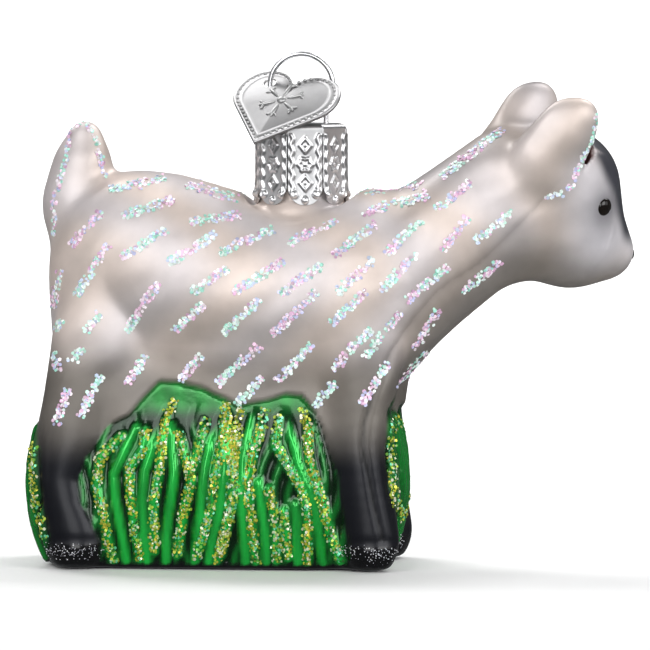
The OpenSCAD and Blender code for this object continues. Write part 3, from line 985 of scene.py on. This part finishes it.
def build_tag():
    right, up, front = tag_frame()
    edge = heart_edge(120)
    n = len(edge)
    heart_middle = np.array([0.0, -1.2])
    rings = 30
    flat = [heart_middle + (edge - heart_middle) * (j / rings) for j in range(1, rings + 1)]
    flat = np.concatenate([[heart_middle], *flat])
    inset = np.concatenate([[0], np.repeat(np.arange(1, rings + 1) / rings, n)])
    rim = 0.22 * np.exp(-((inset - 0.965) / 0.03) ** 2) + 0.14 * np.exp(-((inset - 0.845) / 0.02) ** 2)
    height = TAG_CROWN * (1 - inset ** 2) + rim
    count = len(flat)
    both = []
    for h in (height, height - TAG_THICK):
        both.append(flat[:, :1] * right + flat[:, 1:] * up + h[:, None] * front)
    verts = np.concatenate(both)
    origin = TAG_AT - right * TAG_HOLE[0] - up * TAG_HOLE[1] - front * 0.35
    verts = verts + origin
    faces = []
    for i in range(n):
        k = (i + 1) % n
        faces.append([0, 1 + i, 1 + k])
        faces.append([count, count + 1 + k, count + 1 + i])
        for j in range(rings - 1):
            a, b = 1 + j * n, 1 + (j + 1) * n
            faces.append([a + i, b + i, b + k, a + k])
            faces.append([count + a + i, count + a + k, count + b + k, count + b + i])
        a = 1 + (rings - 1) * n
        faces.append([a + i, count + a + i, count + a + k, a + k])
    mat = metal_material("stamped tag metal", 0.42)
    grain(mat, 1800, 0.12, 0.06)
    obj = make_mesh("tag_stamped", verts, faces, "tag", mat)
    # painted highlight: the raised rims lighter than the flat of the tag
    tone = 0.36 + 0.25 * smoothstep(0.0, 0.12, rim)
    tone = np.concatenate([tone, tone])
    point_colour(obj, "paint", np.stack([tone, tone * 0.99, tone], 1))
    # hole for the wire
    steps = 32
    axis_verts = []
    for s in (-3, 3):
        for i in range(steps):
            a = 2 * math.pi * i / steps
            radial = right * math.cos(a) + up * math.sin(a)
            axis_verts.append(TAG_AT + front * s + radial * TAG_HOLE_R)
    cut_faces = [list(range(steps))[::-1], list(range(steps, 2 * steps))]
    cut_faces += [[i, (i + 1) % steps, steps + (i + 1) % steps, steps + i] for i in range(steps)]
    cutter_mesh = bpy.data.meshes.new("cutter")
    cutter_mesh.from_pydata((np.array(axis_verts) * MM).tolist(), [], cut_faces)
    cutter = bpy.data.objects.new("cutter", cutter_mesh)
    bpy.context.scene.collection.objects.link(cutter)
    cut = obj.modifiers.new("hole", "BOOLEAN")
    cut.object = cutter
    cut.operation = "DIFFERENCE"
    bpy.context.view_layer.update()
    done = bpy.data.meshes.new_from_object(obj.evaluated_get(bpy.context.evaluated_depsgraph_get()))
    obj.modifiers.clear()
    obj.data = done
    bpy.data.objects.remove(cutter)
    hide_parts("heart_tag")
    # beads round the rim, and a sprig in the middle
    bead_v, bead_f = [], []

    def bump(cx, cy, rx, ry, h, turn=0.0):
        r = min(1.0, math.hypot(cx, cy + 1.2) / 9)
        base = TAG_CROWN * (1 - r ** 2) - 0.35

        def on_bump(t, q):
            ex, ey = rx * math.cos(t) * math.cos(q), ry * math.cos(t) * math.sin(q)
            px = cx + ex * math.cos(turn) - ey * math.sin(turn)
            py = cy + ex * math.sin(turn) + ey * math.cos(turn)
            return (TAG_AT + right * (px - TAG_HOLE[0]) + up * (py - TAG_HOLE[1])
                    + front * (base + h * math.sin(t) - 0.03))

        points, quads = dome(5, 14, on_bump, len(bead_v))
        bead_v.extend(points)
        bead_f.extend(quads)

    steps_along = np.diff(np.concatenate([edge, edge[:1]]), axis=0)
    length = np.concatenate([[0], np.cumsum(np.hypot(*steps_along.T))])
    beads = 52
    for i in range(beads):
        s = (i + 0.5) / beads * length[-1]
        x = np.interp(s, length, np.append(edge[:, 0], edge[0, 0]))
        y = np.interp(s, length, np.append(edge[:, 1], edge[0, 1]))
        p = heart_middle + (np.array([x, y]) - heart_middle) * 0.91
        if np.hypot(*(p - TAG_HOLE)) > 1.5:
            bump(p[0], p[1], 0.26, 0.26, 0.24)
    for a in range(6):
        t = math.radians(90 + 60 * a)
        bump(2.3 * math.cos(t), SPRIG_Z + 2.3 * math.sin(t), 1.5, 0.34, 0.3, t)
        for s in (-1, 1):
            bx = 2.9 * math.cos(t) + 0.55 * math.cos(t + s)
            by = SPRIG_Z + 2.9 * math.sin(t) + 0.55 * math.sin(t + s)
            bump(bx, by, 0.6, 0.22, 0.24, t + s * 0.9)
    bump(0, SPRIG_Z, 0.75, 0.75, 0.4)
    extra = make_mesh("tag_beads", bead_v, bead_f, "tag", mat)
    # painted highlight: the beads and the sprig lighter than the flat of the tag
    point_colour(extra, "paint", np.full((len(bead_v), 3), 0.50))


# ---------------------------------------------------------------- stage, lights, camera

def build_stage():
    floor_mesh = bpy.data.meshes.new("floor")
    verts, faces = [], []
    profile = [(-1.2, 0.0), (0.9, 0.0)]
    for i in range(1, 13):
        a = math.pi / 2 * i / 12
        profile.append((0.9 + 0.5 * math.sin(a), 0.5 - 0.5 * math.cos(a)))
    profile.append((1.4, 2.2))
    for y, z in profile:
        verts += [(-3, y, z - 0.0002), (3, y, z - 0.0002)]
    for i in range(len(profile) - 1):
        faces.append((2 * i, 2 * i + 1, 2 * i + 3, 2 * i + 2))
    floor_mesh.from_pydata(verts, [], faces)
    floor = bpy.data.objects.new("floor", floor_mesh)
    floor_mesh.polygons.foreach_set("use_smooth", [True] * len(faces))
    floor_mesh.materials.append(material("pale floor", Base_Color=(0.97, 0.97, 0.97, 1), Roughness=0.6))
    bpy.context.scene.collection.objects.link(floor)
    floor.visible_glossy = False


def area_light(name, place, target, size, power):
    light = bpy.data.lights.new(name, "AREA")
    light.shape = "SQUARE"
    light.size = size
    light.energy = power
    obj = bpy.data.objects.new(name, light)
    obj.location = place
    obj.rotation_euler = (Vector(target) - Vector(place)).to_track_quat("-Z", "Y").to_euler()
    bpy.context.scene.collection.objects.link(obj)


MIDDLE, BEHIND = (0, 0, 0.04), (0, 1.1, 0.3)
LIGHTS = [  # name, place, target, size (metres) and power (watts)
    ("key", (-0.35, -0.62, 0.45), MIDDLE, 0.45, 2.2),
    ("fill", (0.62, -0.50, 0.30), MIDDLE, 0.5, 3.1),
    ("front", (0.0, -0.90, 0.22), MIDDLE, 0.5, 2.4),
    ("left", (-0.80, -0.30, 0.20), MIDDLE, 0.4, 0.3),
    ("right", (0.90, -0.12, 0.22), MIDDLE, 0.4, 0.55),
    ("top", (0.0, 0.1, 0.8), MIDDLE, 0.6, 0.9),
    ("backdrop_left", (-0.5, 0.5, 0.9), BEHIND, 0.6, 10.0),
    ("backdrop_right", (0.5, 0.5, 0.9), BEHIND, 0.6, 10.0)]


def build_light():
    world = bpy.data.worlds.new("studio")
    world.use_nodes = True
    sky = world.node_tree.nodes["Background"].inputs
    sky[0].default_value = (0.62, 0.64, 0.66, 1)
    sky[1].default_value = 0.16
    bpy.context.scene.world = world
    for light in LIGHTS:
        area_light(*light)


CAMERA_AWAY, VIEW_WIDTH, SENSOR = 0.9, 0.1027, 36   # metres, metres and millimetres
VIEW_MIDDLE = (-1.26, 0, 37.7)


def build_camera():
    data = bpy.data.cameras.new("camera")
    cam = bpy.data.objects.new("camera", data)
    bpy.context.scene.collection.objects.link(cam)
    target = Vector(VIEW_MIDDLE) * MM
    level = math.cos(VIEW_RISE)
    back = Vector((math.sin(VIEW_TURN) * level, -math.cos(VIEW_TURN) * level, math.sin(VIEW_RISE)))
    cam.location = target + back * CAMERA_AWAY
    cam.rotation_euler = (-back).to_track_quat("-Z", "Y").to_euler()
    data.sensor_width = SENSOR
    data.lens = SENSOR * CAMERA_AWAY / VIEW_WIDTH
    data.clip_start = 0.01
    bpy.context.scene.camera = cam


def metal_cad(frame, node, mat):
    mesh = frame["nodes"][node].data
    mesh.materials.clear()
    mesh.materials.append(mat)


def main():
    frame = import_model()
    scene = bpy.context.scene
    scene.view_settings.view_transform = "Standard"
    build_camera()
    build_stage()
    build_light()
    verts, quads = build_glass()
    tree = BVHTree.FromPolygons((verts * MM).tolist(), quads.tolist())
    build_neck()
    build_eyes(tree)
    build_glitter(tree)
    build_cap()
    wire = material("bright wire", Base_Color=(0.72, 0.72, 0.74, 1), Metallic=1.0, Roughness=0.15)
    grain(wire, 1500, 0.08, 0.12)
    metal_cad(frame, "hanger_wire", wire)
    build_tag()
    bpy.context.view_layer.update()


main()
